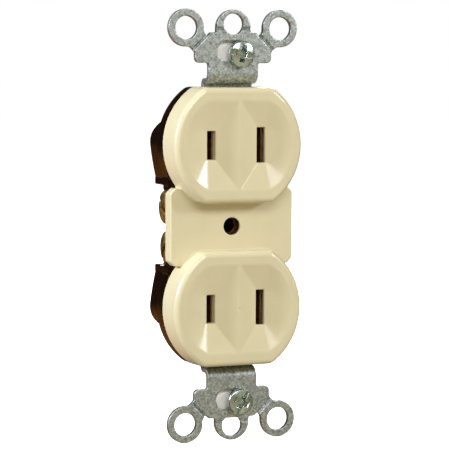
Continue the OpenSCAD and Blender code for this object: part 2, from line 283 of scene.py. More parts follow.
# About the cosine of the facets' slope, which makes depth into distance
DISH_SLOPE = 0.93
WAIST_DRAFT = 0.04
WAIST_EDGE_ROUND = 0.4
WAIST_FILLET = 0.45
HOT_WELL_Y = -3.6
NEUTRAL_WELL_Y = -4.7
# The hole's wall is thin, and the hole is wider behind it
HOLE_WALL_Y = -2.5
HOLE_BACK_R = 3
# The mark of the mould's gate in the lower dish
GATE_X = 0.3
GATE_UP = 0.1
GATE_R = 0.34


def dish_depth(x, w):
    """A dish's depth at x across and w up from the outlet's centre: its shallowest facet's."""
    slot_half = np.where(x < 0, HOT_HALF, NEUTRAL_HALF)
    u = np.abs(x)
    v = np.abs(w)
    slot_in = BLADE_X - SLOT_W / 2
    slot_out = BLADE_X + SLOT_W / 2
    inner = (np.sqrt(u ** 2 + 0.02) - 0.14) / slot_in
    ends = (DISH_HALF_H - v) / (DISH_HALF_H - slot_half)
    corner = DISH_CORNER - DISH_CORNER_U * u - DISH_CORNER_V * v
    corner = corner / (DISH_CORNER - DISH_CORNER_U * slot_out - DISH_CORNER_V * slot_half)
    du, dv = u - slot_out, v - slot_half
    reach = np.maximum(np.hypot(du, dv), 1e-6)
    along = (slot_out * du + slot_half * dv) / reach
    outside = along ** 2 + DISH_R ** 2 - slot_out ** 2 - slot_half ** 2
    full = np.sqrt(np.maximum(outside, 0)) - along
    cone = 1 - reach / full
    plane = (DISH_R - u) / (DISH_R - slot_out)
    side = np.where((u < slot_out) | (v < slot_half * plane), plane, cone)
    facets = np.stack(np.broadcast_arrays(inner, ends, corner, side)) * DISH_DEPTH
    facets = np.minimum(facets, DISH_DEEPEST)
    return -RIDGE_SOFT * np.log(np.exp(-facets / RIDGE_SOFT).sum(axis=0))


def cover_field(x, y, z):
    u, v = np.abs(x), np.abs(z)
    w = v - OUTLET_Z
    draft = FACE_DRAFT * np.clip(-y / FACE_DEPTH, 0, 1)
    flats = np.abs(w) - FACE_HALF_H + draft / 2
    outline = round_and(disc(x, w, FACE_R - draft), flats, CORNER_ROUND)
    boss = round_and(outline, -y - FACE_DEPTH, FACE_ROUND)
    boss = cut(boss, DISH_SLOPE * (y + FACE_DEPTH - dish_depth(x, w)), DISH_EDGE_ROUND)
    slot_half = np.where(x < 0, HOT_HALF, NEUTRAL_HALF)
    slot = np.maximum(np.abs(u - BLADE_X) - SLOT_W / 2, np.abs(w) - slot_half)
    boss = cut(boss, slot, EDGE_ROUND)
    chamfer = (u + v - WAIST_HALF_W - WAIST_HALF_H + WAIST_CHAMFER) / math.sqrt(2)
    waist = np.maximum(u - WAIST_HALF_W + WAIST_DRAFT * -y, v - WAIST_HALF_H)
    waist = round_and(round_and(waist, chamfer, 0.3), -y - WAIST_DEPTH, WAIST_EDGE_ROUND)
    cover = round_or(boss, waist, WAIST_FILLET)
    well_y = np.where(x < 0, HOT_WELL_Y, NEUTRAL_WELL_Y)
    well = np.maximum(np.abs(w) - WELL_HALF_H, well_y - y)
    well = np.maximum(between(u, WELL_IN, WELL_OUT), well)
    cover = np.maximum(cover, -well)
    hole_r = np.hypot(x, z)
    cover = cut(cover, hole_r - PLATE_HOLE_R, 0.25)
    cover = np.maximum(cover, -np.maximum(hole_r - HOLE_BACK_R, HOLE_WALL_Y - y))
    gate = (x - GATE_X) ** 2 + (z + OUTLET_Z - GATE_UP) ** 2 + (y + FACE_DEPTH + 0.05) ** 2
    cover = cut(cover, np.sqrt(gate) - GATE_R, 0.05)
    return round_and(cover, y, 0.1)


# ---------------------------------------------------------------- body

RIM_R = 16.5
RIM_T = 4.2
BLOCK_HALF_W = BODY_HIGH[0]
BLOCK_DEPTH = 10.1
BLOCK_END = 25.9
BLOCK_WIDEST_Z = 16.6
FOOT_HALF_W = 14.9
FOOT_END = 11.4
CORE_HALF_W = 11
CORE_END = 25.8
BODY_DEPTH = BODY_HIGH[1]
LEDGE_Z = 9.7
WAIST_CORE = 7.9
UPPER_TERM_Z = 4.3
LOWER_TERM_Z = -5.5
TERM_Y = 5.5
TAB_HALF = 3.9
ASSEMBLY_Z = 29
TAB_POCKET_OUT = 9.4
HEAD_POCKET_R = 4.4
HEAD_POCKET_IN = 8
SHAFT_HOLE_R = 2.58
SHAFT_HOLE_IN = 3.4
# The slots that the contacts' lugs and the bars' arms pass through
ARM_U = (6.9, 9.9)
ARM_Y = (3.2, 8.9)
ARM_V = (8.6, 16.2)
WELL_FLOOR_Y = 13.3
# The strap's channel in the front: narrow between the outlets, wide outside them
CHANNEL_HALF_W = 3.7
CHANNEL_WIDE = 6.45
CHANNEL_WIDE_Z = 25.4
CHANNEL_DEPTH = 1.35
PLATE_SCREW_R = 2.9
PLATE_SCREW_DEPTH = 9.5
ASSEMBLY_HOLE_R = 1.5
# Marks in the back: a gauge groove and four ejector pins
GAUGE_HALF = 6
GAUGE_R = 1.1
GAUGE_DEPTH = 0.6
PIN_X = 7.2
PIN_Z = 21.5
PIN_R = 1.7
PIN_DEPTH = 0.25


def body_field(x, y, z):
    u, v = np.abs(x), np.abs(z)
    w = v - OUTLET_Z
    rim = round_and(disc(x, w, RIM_R), between(w, WAIST_HALF_H - OUTLET_Z, FACE_HALF_H), 0.5)
    rim = slab(rim, y, 0, RIM_T, 0.3)
    foot = np.maximum(u - FOOT_HALF_W, between(v, WAIST_HALF_H - 0.8, FOOT_END))
    rim = np.minimum(rim, slab(foot, y, 0, RIM_T, 0.3))
    slope = (BLOCK_HALF_W - FOOT_HALF_W) / (BLOCK_WIDEST_Z - FOOT_END)
    taper = (u - BLOCK_HALF_W + slope * (BLOCK_WIDEST_Z - v)) / math.hypot(1, slope)
    outline = round_and(round_and(u - BLOCK_HALF_W, v - BLOCK_END, 7), taper, 2.5)
    outline = np.minimum(outline, foot)
    block = slab(round_and(outline, LEDGE_Z - v, 0.25), y, 0, BLOCK_DEPTH, 0.6)
    outline = round_and(u - CORE_HALF_W, v - CORE_END, 1)
    # A slanted plane at the core's corner softens its rounding
    outline = round_and(outline, (3.3 * u + 1.8 * v - 82.8) / 3.76, 1)
    core = slab(round_and(outline, LEDGE_Z - v, 0.4), y, 0, BODY_DEPTH, 0.9)
    waist = slab(round_and(u - WAIST_CORE, v - LEDGE_Z - 1, 0.3), y, 0, BODY_DEPTH, 0.9)
    body = round_or(round_or(np.minimum(block, waist), core, 0.5), rim, 0.3)
    for term_z in (UPPER_TERM_Z, LOWER_TERM_Z):
        head = np.maximum(disc(y - TERM_Y, z - term_z, HEAD_POCKET_R), HEAD_POCKET_IN - u)
        shaft = np.maximum(disc(y - TERM_Y, z - term_z, SHAFT_HOLE_R), SHAFT_HOLE_IN - u)
        body = cut(cut(body, head, 0.2), shaft, 0.1)
    tabs = np.maximum(np.abs(y - TERM_Y) - TAB_HALF - 0.2, v - LEDGE_Z)
    body = cut(body, np.maximum(between(u, WAIST_CORE, TAB_POCKET_OUT), tabs), 0.1)
    arms = np.maximum(between(u, *ARM_U), np.maximum(between(y, *ARM_Y), between(v, *ARM_V)))
    body = cut(body, arms, 0.15)
    well = np.maximum(np.abs(w) - WELL_HALF_H, y - WELL_FLOOR_Y)
    well = np.maximum(between(u, WELL_IN, WELL_OUT), well)
    body = np.maximum(body, -well)
    channel = np.minimum(u - CHANNEL_HALF_W, np.maximum(u - CHANNEL_WIDE, CHANNEL_WIDE_Z - v))
    body = np.maximum(body, -np.maximum(channel, y - CHANNEL_DEPTH))
    body = np.maximum(body, -np.maximum(disc(x, z, PLATE_SCREW_R), y - PLATE_SCREW_DEPTH))
    body = cut(body, disc(x, v - ASSEMBLY_Z, ASSEMBLY_HOLE_R), 0.1)
    gauge = np.maximum(capsule(z, x, GAUGE_HALF, GAUGE_R), BODY_DEPTH - GAUGE_DEPTH - y)
    pins = np.maximum(disc(u - PIN_X, v - PIN_Z, PIN_R), BODY_DEPTH - PIN_DEPTH - y)
    return cut(cut(body, gauge, 0.15), pins, 0.08)


# ---------------------------------------------------------------- strap

EAR_HALF_W = 9.75
EAR_BOTTOM = 38.9
EAR_TOP = 46.1
EAR_CUT = 51.95
RING_X = 12
RING_Z = 47.15
RING_R = 4.45
RING_HOLE_R = 2.75
TAB_HOLE_Z = 48.1
TAB_HOLE_R = 2.5
TAB_R = 4.4
SCORE_Z = 47
NECK_HALF_W = 6.35
STRAP_HALF_W = 3.6
LEG_Z = 34
BEND_R = 2.4
SLOT_R = 2.45
SLOT_HALF = 4.1
RING_ARM_HALF_W = 2.45
RING_ARM_LEN = 6
CROSS_HALF_W = 6
CROSS_HALF_H = 6.5
HIDDEN_NECK_Z = 25.5
COLLAR_R = 2.7
COLLAR_H = 2.6
TAP_R = 1.75
SCORE_HALF_W = 0.45
SCORE_DEPTH = 0.45
# The rings' score lines lie just outside the cut corners, centred where z - |x| is SIDE_SCORE_MID
SIDE_SCORE_OUT = 0.35
SIDE_SCORE_MID = 35.8
SIDE_SCORE_HALF = 4.4


def ear_outline(x, z):
    u = np.abs(x)
    plate = round_and(u - EAR_HALF_W, EAR_BOTTOM - z, 1.2)
    plate = round_and(np.maximum(plate, z - EAR_TOP), (u + z - EAR_CUT) / math.sqrt(2), 0.1)
    neck = np.maximum(u - NECK_HALF_W, np.maximum(LEG_Z - z, z - EAR_BOTTOM - 2))
    tab = np.minimum(disc(x, z - RING_Z, TAB_R), np.maximum(u - TAB_R, z - RING_Z))
    tab = np.maximum(tab, EAR_TOP - 1 - z)
    along = (RING_X - u + RING_Z - z) / math.sqrt(2)
    across = (RING_X - u - RING_Z + z) / math.sqrt(2)
    arm = np.maximum(np.abs(across) - RING_ARM_HALF_W, between(along, 0, RING_ARM_LEN))
    ring = round_or(disc(u - RING_X, z - RING_Z, RING_R), arm, 0.5)
    ear = round_or(round_or(plate, neck, 0.5), tab, 0.35)
    ear = round_or(ear, ring, 0.15)
    ear = np.maximum(ear, -disc(u - RING_X, z - RING_Z, RING_HOLE_R))
    ear = np.maximum(ear, -disc(x, z - TAB_HOLE_Z, TAB_HOLE_R))
    return np.maximum(ear, -capsule(x, z - BOX_SCREW_Z, SLOT_HALF - SLOT_R, SLOT_R))


def arc(a, b, r):
    """Distance to a quarter circle in the quadrant where a and b are negative."""
    end = np.minimum(np.hypot(a + r, b), np.hypot(a, b + r))
    return np.where((a <= 0) & (b <= 0), np.abs(np.hypot(a, b) - r), end)


def strap_sheet(y, z):
    """The sheet's section: flat on the parting plane, then two bends that carry the ear forward."""
    mid = STRAP_T / 2
    front_y = EAR_FRONT_Y + mid
    turn_y = EAR_FRONT_Y + BEND_R
    ear = np.hypot(y - front_y, np.maximum(LEG_Z + BEND_R - z, 0))
    outer_bend = arc(y - turn_y, z - LEG_Z - BEND_R, BEND_R - mid)
    leg = np.hypot(between(y, turn_y, -0.3).clip(0), z - LEG_Z - mid)
    inner_bend = arc(-0.3 - y, LEG_Z - 0.3 - z, 0.3 + mid)
    flat = np.hypot(y - mid, np.maximum(z - LEG_Z + 0.3, 0))
    return np.minimum.reduce(np.broadcast_arrays(ear, outer_bend, leg, inner_bend, flat)) - mid


def groove(distance, y, half_w, depth):
    """A scored V in the front of the ear."""
    return (np.abs(distance) - half_w * (1 - (y - EAR_FRONT_Y) / depth)) * 0.8


def strap_field(x, y, z):
    u, v = np.abs(x), np.abs(z)
    cross = np.maximum(u - CROSS_HALF_W, v - CROSS_HALF_H)
    flat = np.minimum(np.maximum(u - STRAP_HALF_W, v - LEG_Z - 2), cross)
    neck = np.maximum(u - NECK_HALF_W, between(v, HIDDEN_NECK_Z, LEG_Z + BEND_R + 1))
    outline = np.minimum(np.minimum(flat, neck), ear_outline(x, v))
    strap = round_and(strap_sheet(y, v), outline, 0.2)
    collar = slab(disc(x, z, COLLAR_R), y, 0, COLLAR_H, 0.2)
    strap = round_or(strap, collar, 0.4)
    strap = cut(strap, disc(x, z, TAP_R), 0.12)
    strap = np.maximum(strap, -disc(x, v - ASSEMBLY_Z, ASSEMBLY_HOLE_R))
    side = groove((u + v - EAR_CUT - SIDE_SCORE_OUT) / math.sqrt(2), y, SCORE_HALF_W, SCORE_DEPTH)
    side = np.maximum(side, np.abs(u - v + SIDE_SCORE_MID) - SIDE_SCORE_HALF)
    middle = np.maximum(groove(v - SCORE_Z, y, 0.42, SCORE_DEPTH), u - TAB_R - 1)
    return cut(cut(strap, side, 0.05), middle, 0.05)


# ---------------------------------------------------------------- screws

BOX_SCREW_R = 1.75
BOX_SCREW_LEN = 15.4
BOX_HEAD_R = 3.18
BOX_HEAD_H = 2.0
BOX_PITCH = 0.794
TERM_R = 2.08
TERM_HEAD_R = 4.1
TERM_HEAD_H = 1.9
TERM_LEN = 5.6
BOX_DOME_R = 8.5
BOX_SLOT_HALF = 0.6
BOX_SLOT_DEPTH = 1.15
BOX_CROSS_DEPTH = 1.8
BOX_CROSS_HALF = 2.25
BOX_CROSS_TAPER = 0.7
BOX_NECK_R = 1.3
BOX_NECK_LEN = 2.6
THREAD_DEPTH = 0.4
# A thread's or cone's field is scaled by this, because it is steeper than a true distance
STEEP = 0.7
TERM_DOME_R = 14.2
TERM_SLOT_HALF = 0.55
TERM_SLOT_DEPTH = 1.1
# The ring under the head that grips the wire
GRIP_IN = 2.3
GRIP_OUT = 3.5
GRIP_DEPTH = 0.25


def thread(along, a, b, r, pitch, depth):
    """A right-handed thread round an axis; along runs away from the head."""
    phase = (along / pitch - np.arctan2(b, a) / (2 * math.pi)) % 1
    root = np.clip(np.abs(phase - 0.5) * 2.6 - 0.2, 0, 1)
    return (np.hypot(a, b) - r + depth * root) * STEEP


def domed_head(h, r, head_r, head_h, dome_r, edge):
    dome = np.sqrt(r ** 2 + (h + head_h - dome_r) ** 2) - dome_r
    return round_and(round_and(r - head_r, dome, edge), h, 0.12)


def box_screw_shape(h, a, b, turn):
    """h runs from the head's underside to the tip; a is right and b is up, seen on the head."""
    r = np.hypot(a, b)
    head = domed_head(h, r, BOX_HEAD_R, BOX_HEAD_H, BOX_DOME_R, 0.35)
    p = a * math.cos(turn) + b * math.sin(turn)
    q = b * math.cos(turn) - a * math.sin(turn)
    deep = h + BOX_HEAD_H
    slot = np.maximum(np.abs(q) - BOX_SLOT_HALF, deep - BOX_SLOT_DEPTH)
    wing = BOX_CROSS_HALF - BOX_CROSS_TAPER * deep
    cross = np.minimum(
        np.maximum(np.abs(p) - BOX_SLOT_HALF, np.abs(q) - wing),
        np.maximum(np.abs(q) - BOX_SLOT_HALF, np.abs(p) - wing),
    )
    head = cut(head, np.maximum(cross, deep - BOX_CROSS_DEPTH), 0.08)
    head = cut(head, slot, 0.1)
    tip = (r + h - BOX_SCREW_LEN - BOX_SCREW_R + 0.7) * STEEP
    neck = np.maximum(r - BOX_NECK_R, between(h, -0.2, BOX_NECK_LEN + 0.4))
    ends = np.maximum(BOX_NECK_LEN - h, np.maximum(h - BOX_SCREW_LEN, tip))
    shaft = np.maximum(thread(h, a, b, BOX_SCREW_R, BOX_PITCH, THREAD_DEPTH), ends)
    return np.minimum(head, np.minimum(neck, shaft))


def term_screw_shape(h, a, b, turn):
    """Binding head: a domed disc, undercut below; h runs inward from its underside."""
    r = np.hypot(a, b)
    head = domed_head(h, r, TERM_HEAD_R, TERM_HEAD_H, TERM_DOME_R, 0.45)
    head = cut(head, np.maximum(between(r, GRIP_IN, GRIP_OUT), -GRIP_DEPTH - h), 0.1)
    q = b * math.cos(turn) - a * math.sin(turn)
    slot = np.maximum(np.abs(q) - TERM_SLOT_HALF, h + TERM_HEAD_H - TERM_SLOT_DEPTH)
    head = cut(head, slot, 0.1)
    tip = np.maximum(h - TERM_LEN, (r + h - TERM_LEN - TERM_R + 0.6) * STEEP)
    ends = np.maximum(-0.2 - h, tip)
    return np.minimum(head, np.maximum(thread(h, a, b, TERM_R, BOX_PITCH, THREAD_DEPTH), ends))


# ---------------------------------------------------------------- small parts

BAR_IN = 8.0
BAR_OUT = 9.2
LEAF_T = 0.45
RIVET_Y = 6
RIVET_Z = 13.4
LUG_LOW = 3.8
LUG_HIGH = 8.2
BAR_EDGE = 0.12
BAR_ARM_END = 15.4
LINK_HALF_W = 1.1
LINK_MID_Z = -0.6
RIVET_HOLE_R = 0.92
RIVET_R = 0.9
RIVET_HEAD_R = 1.6
# The fork's leaf, as |x| from the blade's middle and y: straight, then in to the pinch, then out
FORK_OUT = 1.65
FORK_BACK = 12.6
FORK_KNEE = 2.5
PINCH = (0.575, -1.2)
MOUTH = (1.1, -3.2)
LUG_END = 11.6
WASHER_R = 5.5
WASHER_HALF_H = 4.2
WASHER_HOLE_R = 1.8
WASHER_T = 0.8
ASSEMBLY_HEAD_R = 2.3
ASSEMBLY_HEAD_H = 1.5
ASSEMBLY_R = 1.2
ASSEMBLY_PITCH = 0.64
ASSEMBLY_LEN = 8.3


def box3(a, b, c, low, high, r):
    flat = round_and(between(a, low[0], high[0]), between(b, low[1], high[1]), r)
    return round_and(flat, between(c, low[2], high[2]), r)


def terminal_bar_field(u, y, z):
    """Two tapped plates joined by a link, with an arm from each to its contact; u is outward."""

    def plate(y0, y1, z0, z1):
        return box3(u, y, z, (BAR_IN, y0, z0), (BAR_OUT, y1, z1), BAR_EDGE)

    shape = plate(TERM_Y - LINK_HALF_W, TERM_Y + LINK_HALF_W, LOWER_TERM_Z, UPPER_TERM_Z)
    for term_z in (UPPER_TERM_Z, LOWER_TERM_Z):
        tab = plate(TERM_Y - TAB_HALF, TERM_Y + TAB_HALF, term_z - TAB_HALF, term_z + TAB_HALF)
        shape = np.minimum(shape, tab)
    for low, high in ((-BAR_ARM_END, LOWER_TERM_Z), (UPPER_TERM_Z, BAR_ARM_END)):
        shape = np.minimum(shape, plate(LUG_LOW, LUG_HIGH, low, high))
    for term_z in (UPPER_TERM_Z, LOWER_TERM_Z):
        shape = cut(shape, disc(y - TERM_Y, z - term_z, TERM_R + 0.05), 0.1)
    notch = (np.abs(z - LINK_MID_Z) - 0.35 * (1 - (BAR_OUT - u) / 0.4)) * 0.8
    shape = cut(shape, notch, 0.05)
    return np.maximum(shape, -disc(y - RIVET_Y, np.abs(z) - RIVET_Z, RIVET_HOLE_R))


def segment(a, b, p, q):
    """Distance to the line from p to q."""
    run, rise = q[0] - p[0], q[1] - p[1]
    along = np.clip(((a - p[0]) * run + (b - p[1]) * rise) / math.dist(p, q) ** 2, 0, 1)
    return np.hypot(a - p[0] - along * run, b - p[1] - along * rise)


def contact_field(u, y, v, half_l):
    """A fork of spring strip that pinches a blade, with the lug that is riveted to the bar."""
    leaf, back = FORK_OUT - LEAF_T / 2, FORK_BACK - LEAF_T / 2
    p = np.abs(u - BLADE_X)
    fork = np.minimum.reduce([
        segment(p, y, (leaf, back), (leaf, FORK_KNEE)),
        segment(p, y, (leaf, FORK_KNEE), PINCH),
        segment(p, y, PINCH, MOUTH),
        segment(p, y, (0, back), (leaf, back)),
    ]) - LEAF_T / 2
    fork = round_and(fork, np.abs(v - OUTLET_Z) - half_l, 0.08)
    lug_high = (BAR_IN, LUG_HIGH, OUTLET_Z - half_l + 1)
    lug = box3(u, y, v, (BAR_IN - LEAF_T, LUG_LOW, LUG_END), lug_high, 0.08)
    return np.maximum(np.minimum(fork, lug), -disc(y - RIVET_Y, v - RIVET_Z, RIVET_HOLE_R))


def rivet_field(u, y, v):
    r = np.hypot(y - RIVET_Y, v - RIVET_Z)
    shank = np.maximum(r - RIVET_R, between(u, BAR_IN - LEAF_T - 0.3, BAR_OUT + 0.3))
    head = np.minimum(
        round_and(r - RIVET_HEAD_R, between(u, BAR_OUT, BAR_OUT + 0.5), 0.22),
        round_and(r - RIVET_HEAD_R, between(u, BAR_IN - LEAF_T - 0.5, BAR_IN - LEAF_T), 0.22),
    )
    return np.minimum(shank, head)


def washer_field(a, y, b):
    outline = round_and(disc(a, b, WASHER_R), np.abs(b) - WASHER_HALF_H, 0.5)
    outline = np.maximum(outline, WASHER_HOLE_R - np.hypot(a, b))
    return slab(outline, y, 0, WASHER_T, 0.1)


def assembly_screw_shape(h, a, b):
    """h runs from the head's underside toward the tip."""
    r = np.hypot(a, b)
    head = round_and(r - ASSEMBLY_HEAD_R, between(h, -ASSEMBLY_HEAD_H, 0), 0.3)
    slot = np.maximum(np.abs(b * 0.94 - a * 0.34) - 0.4, h + 0.7)
    head = cut(head, slot, 0.08)
    shaft = thread(h, a, b, ASSEMBLY_R, ASSEMBLY_PITCH, 0.25)
    shaft = np.maximum(shaft, between(h, -0.2, ASSEMBLY_LEN))
    return np.minimum(head, shaft)


# ---------------------------------------------------------------- materials


def new_material(name):
    material = bpy.data.materials.new(name)
    material.use_nodes = True
    tree = material.node_tree
    return material, tree, tree.nodes["Principled BSDF"]


def add_noise(tree, scale, detail=2.0, roughness=0.5, stretch=(1, 1, 1)):
    coords = tree.nodes.new("ShaderNodeTexCoord")
    mapping = tree.nodes.new("ShaderNodeMapping")
    mapping.inputs["Scale"].default_value = stretch
    noise = tree.nodes.new("ShaderNodeTexNoise")
    noise.inputs["Scale"].default_value = scale
    noise.inputs["Detail"].default_value = detail
    noise.inputs["Roughness"].default_value = roughness
    tree.links.new(coords.outputs["Object"], mapping.inputs["Vector"])
    tree.links.new(mapping.outputs["Vector"], noise.inputs["Vector"])
    return noise.outputs["Fac"]


def add_ramp(tree, value, stops):
    ramp = tree.nodes.new("ShaderNodeValToRGB")
    ramp.color_ramp.elements.remove(ramp.color_ramp.elements[1])
    for index, (place, color) in enumerate(stops):
        stop = ramp.color_ramp.elements[0] if index == 0 else ramp.color_ramp.elements.new(place)
        stop.position = place
        stop.color = (*color, 1)
    tree.links.new(value, ramp.inputs["Fac"])
    return ramp.outputs["Color"]


def add_range(tree, value, low, high, to_low, to_high):
    node = tree.nodes.new("ShaderNodeMapRange")
    node.inputs["From Min"].default_value = low
    node.inputs["From Max"].default_value = high
    node.inputs["To Min"].default_value = to_low
    node.inputs["To Max"].default_value = to_high
    tree.links.new(value, node.inputs["Value"])
    return node.outputs["Result"]


def add_bump(tree, shader, height, depth, previous=None):
    """A bump whose full height is depth, in metres."""
    bump = tree.nodes.new("ShaderNodeBump")
    bump.inputs["Distance"].default_value = depth
    tree.links.new(height, bump.inputs["Height"])
    if previous:
        tree.links.new(previous, bump.inputs["Normal"])
    tree.links.new(bump.outputs["Normal"], shader.inputs["Normal"])
    return bump.outputs["Normal"]


def add_color(tree, shader, value, stops):
    tree.links.new(add_ramp(tree, value, stops), shader.inputs["Base Color"])


def add_roughness(tree, shader, value, at_low, at_high):
    rough = add_range(tree, value, 0.3, 0.7, at_low, at_high)
    tree.links.new(rough, shader.inputs["Roughness"])


def add_subsurface(shader, weight, radius):
    shader.inputs["Subsurface Weight"].default_value = weight
    shader.inputs["Subsurface Radius"].default_value = radius
    shader.inputs["Subsurface Scale"].default_value = 1


def ivory_plastic():
    material, tree, shader = new_material("ivory_plastic")
    tone = add_noise(tree, 90, 3, 0.6)
    add_color(tree, shader, tone, [(0.3, (0.75, 0.68, 0.455)), (0.7, (0.79, 0.72, 0.49))])
    add_roughness(tree, shader, add_noise(tree, 300, 3, 0.6), 0.16, 0.24)
    add_bump(tree, shader, add_noise(tree, 260, 2), 0.000015)
    add_subsurface(shader, 0.08, (0.0012, 0.0008, 0.0004))
    return material


def phenolic_plastic():
    material, tree, shader = new_material("phenolic")
    flow = add_noise(tree, 260, 5, 0.65, (1, 1, 0.35))
    add_color(tree, shader, flow, [
        (0.35, (0.003, 0.0006, 0.0004)),
        (0.62, (0.007, 0.0017, 0.0008)),
        (0.8, (0.022, 0.006, 0.002)),
    ])
    add_roughness(tree, shader, add_noise(tree, 500, 4, 0.6), 0.18, 0.34)
    shader.inputs["Specular IOR Level"].default_value = 0.16
    shader.inputs["Specular Tint"].default_value = (1, 0.55, 0.35, 1)
    peel = add_bump(tree, shader, add_noise(tree, 420, 2), 0.00004)
    add_bump(tree, shader, add_noise(tree, 2400, 2), 0.000003, peel)
    return material


def axis_distance(tree, point):
    """Distance from the plate screw's axis."""
    across = tree.nodes.new("ShaderNodeVectorMath")
    across.operation = "MULTIPLY"
    across.inputs[1].default_value = (1, 0, 1)
    tree.links.new(point, across.inputs[0])
    length = tree.nodes.new("ShaderNodeVectorMath")
    length.operation = "LENGTH"
    tree.links.new(across.outputs["Vector"], length.inputs[0])
    return length.outputs["Value"]


def galvanised_steel():
    """Mottled zinc, with painted shade in dark brown round the tapped hole, where the deep hole
    lies in shadow.
    """
    material, tree, shader = new_material("galvanised_steel")
    shader.inputs["Metallic"].default_value = 1
    coords = tree.nodes.new("ShaderNodeTexCoord")
    spangle = tree.nodes.new("ShaderNodeTexVoronoi")
    spangle.inputs["Scale"].default_value = 2200
    tree.links.new(coords.outputs["Object"], spangle.inputs["Vector"])
    grain = tree.nodes.new("ShaderNodeMix")
    grain.inputs["Factor"].default_value = 0.6
    tree.links.new(spangle.outputs["Color"], grain.inputs["A"])
    tree.links.new(add_noise(tree, 800, 6, 0.7), grain.inputs["B"])
    value = grain.outputs["Result"]
    zinc = add_ramp(tree, value, [
        (0.3, (0.21, 0.24, 0.24)),
        (0.5, (0.40, 0.44, 0.44)),
        (0.7, (0.65, 0.70, 0.70)),
    ])
    # Painted shade: within 3.1 mm of the plate screw's axis the steel is dark brown, standing for
    # the shadow inside the deep hole
    outside_painted_shade = add_range(tree, axis_distance(tree, coords.outputs["Object"]), 3.1 * MM, 3.5 * MM, 0, 1)
    color = tree.nodes.new("ShaderNodeMix")
    color.data_type = "RGBA"
    tree.links.new(outside_painted_shade, color.inputs["Factor"])
    color.inputs["A"].default_value = (0.16, 0.07, 0.04, 1)
    tree.links.new(zinc, color.inputs["B"])
    tree.links.new(color.outputs["Result"], shader.inputs["Base Color"])
    add_roughness(tree, shader, value, 0.6, 0.36)
    dents = add_bump(tree, shader, add_noise(tree, 380, 4, 0.6), 0.00012)
    add_bump(tree, shader, add_noise(tree, 1500, 3, 0.6, (1, 1, 0.2)), 0.000012, dents)
    return material


def plated_metal(name, dark, light, smooth, rough, scale=600):
    material, tree, shader = new_material(name)
    shader.inputs["Metallic"].default_value = 1
    add_color(tree, shader, add_noise(tree, scale, 4, 0.6), [(0.3, dark), (0.7, light)])
    add_roughness(tree, shader, add_noise(tree, 2 * scale, 3, 0.6), smooth, rough)
    add_bump(tree, shader, add_noise(tree, 1.5 * scale, 3, 0.6), 0.00001)
    return material


def white_nylon():
    material, tree, shader = new_material("white_nylon")
    tone = add_noise(tree, 500, 3, 0.6)
    add_color(tree, shader, tone, [(0.3, (0.93, 0.93, 0.91)), (0.7, (0.98, 0.98, 0.97))])
    add_roughness(tree, shader, add_noise(tree, 900, 3), 0.45, 0.65)
    add_bump(tree, shader, add_noise(tree, 1800, 3, 0.6), 0.00001)
    add_subsurface(shader, 0.1, (0.001, 0.001, 0.001))
    return material


# ---------------------------------------------------------------- lights and floor


# Each soft box: its name, direction from the object, width and height in metres, watts and colour
BOX_DISTANCE = 0.7
COOL = (0.97, 1, 1.07)
WHITE = (1, 1, 1)
SOFT_BOXES = [
    ("key_box", (-0.2, -0.8, 0.54), (0.5, 0.24), 1.95, COOL),
    ("left_box", (-0.94, 0.06, 0.36), (0.22, 0.22), 5.2, COOL),
    ("right_box", (0.685, -0.618, 0.391), (0.13, 0.13), 1.55, COOL),
    ("back_box", (0.45, 0.75, 0.5), (0.3, 0.3), 2, WHITE),
]
CREAM = (1, 0.88, 0.60)
AMBER = (1, 0.36, 0.05)
FLOOR_HALF = 3


def add_soft_box(name, direction, size, power, color):
    data = bpy.data.lights.new(name, "AREA")
    data.shape = "RECTANGLE"
    data.size, data.size_y = size
    data.energy = power
    data.color = color
    light = bpy.data.objects.new(name, data)
    SCENE.collection.objects.link(light)
    light.location = Vector(direction) * BOX_DISTANCE
    light.rotation_euler = (-light.location).to_track_quat("-Z", "Y").to_euler()


def add_sky_term(tree, toward, low, high, dim, bright):
    """Strength from dim to bright as the direction's cosine with toward goes from low to high."""
    coords = tree.nodes.new("ShaderNodeTexCoord")
    dot = tree.nodes.new("ShaderNodeVectorMath")
    dot.operation = "DOT_PRODUCT"
    dot.inputs[1].default_value = toward
    tree.links.new(coords.outputs["Generated"], dot.inputs[0])
    span = tree.nodes.new("ShaderNodeMapRange")
    for name, value in (("From Min", low), ("From Max", high), ("To Min", dim), ("To Max", bright)):
        span.inputs[name].default_value = value
    tree.links.new(dot.outputs["Value"], span.inputs["Value"])
    return span.outputs["Result"]


def add_background(tree, color, strength):
    sky = tree.nodes.new("ShaderNodeBackground")
    sky.inputs["Color"].default_value = (*color, 1)
    tree.links.new(strength, sky.inputs["Strength"])
    return sky.outputs["Background"]


